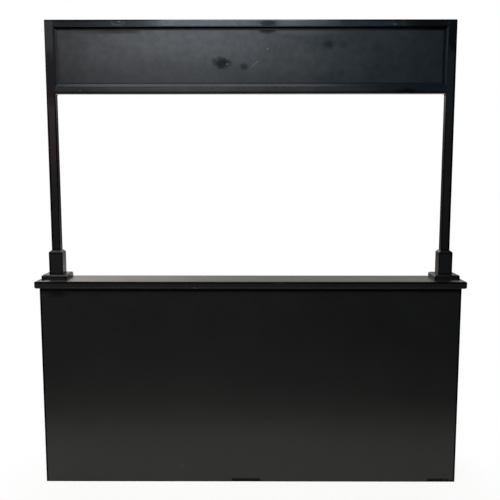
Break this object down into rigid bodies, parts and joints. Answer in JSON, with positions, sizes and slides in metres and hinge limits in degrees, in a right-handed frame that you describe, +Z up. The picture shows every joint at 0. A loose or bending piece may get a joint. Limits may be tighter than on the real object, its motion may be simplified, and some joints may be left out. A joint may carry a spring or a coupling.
{
  "type": "wooden market stall",
  "caption": "Black-painted wooden market stall: boarded counter with a moulded ledge, two posts in square sockets and a framed name board across the top.",
  "frame": {"origin": "on the ground under the middle of the counter ledge's width and depth", "axes": "+Z up; +X to the right as a customer faces the stall; -Y towards the customer, +Y towards the seller"},
  "size_m": [2.036, 0.196, 2.214],
  "materials": {
    "painted_board": "black paint with a soft sheen on sheet board",
    "painted_frame": "thin black paint on sawn softwood",
    "painted_moulding": "black paint with a soft sheen on moulded softwood",
    "painted_post": "black paint with a soft sheen on planed softwood"
  },
  "bodies": {
    "root": {"front_panel": "painted_board", "side_panel_left": "painted_board", "side_panel_right": "painted_board", "corner_post_front_left": "painted_frame", "corner_post_front_right": "painted_frame", "corner_post_back_left": "painted_frame", "corner_post_back_right": "painted_frame", "bottom_rail_front": "painted_frame", "bottom_rail_back": "painted_frame", "top_rail_front": "painted_frame", "top_rail_back": "painted_frame", "centre_stud_front": "painted_frame", "centre_stud_back": "painted_frame", "shelf": "painted_board", "shelf_bearer_left": "painted_frame", "shelf_bearer_right": "painted_frame", "shelf_bearer_centre": "painted_frame", "ledge_board": "painted_board", "nosing_front": "painted_moulding", "nosing_left": "painted_moulding", "nosing_right": "painted_moulding", "base_plate_left": "painted_moulding", "base_plate_right": "painted_moulding", "socket_left": "painted_post", "socket_right": "painted_post", "post_left": "painted_post", "post_right": "painted_post", "header_top_rail": "painted_post", "header_bottom_rail": "painted_post", "header_panel": "painted_board", "header_bead_top": "painted_moulding", "header_bead_bottom": "painted_moulding", "header_bead_left": "painted_moulding", "header_bead_right": "painted_moulding"}
  },
  "joints": []
}
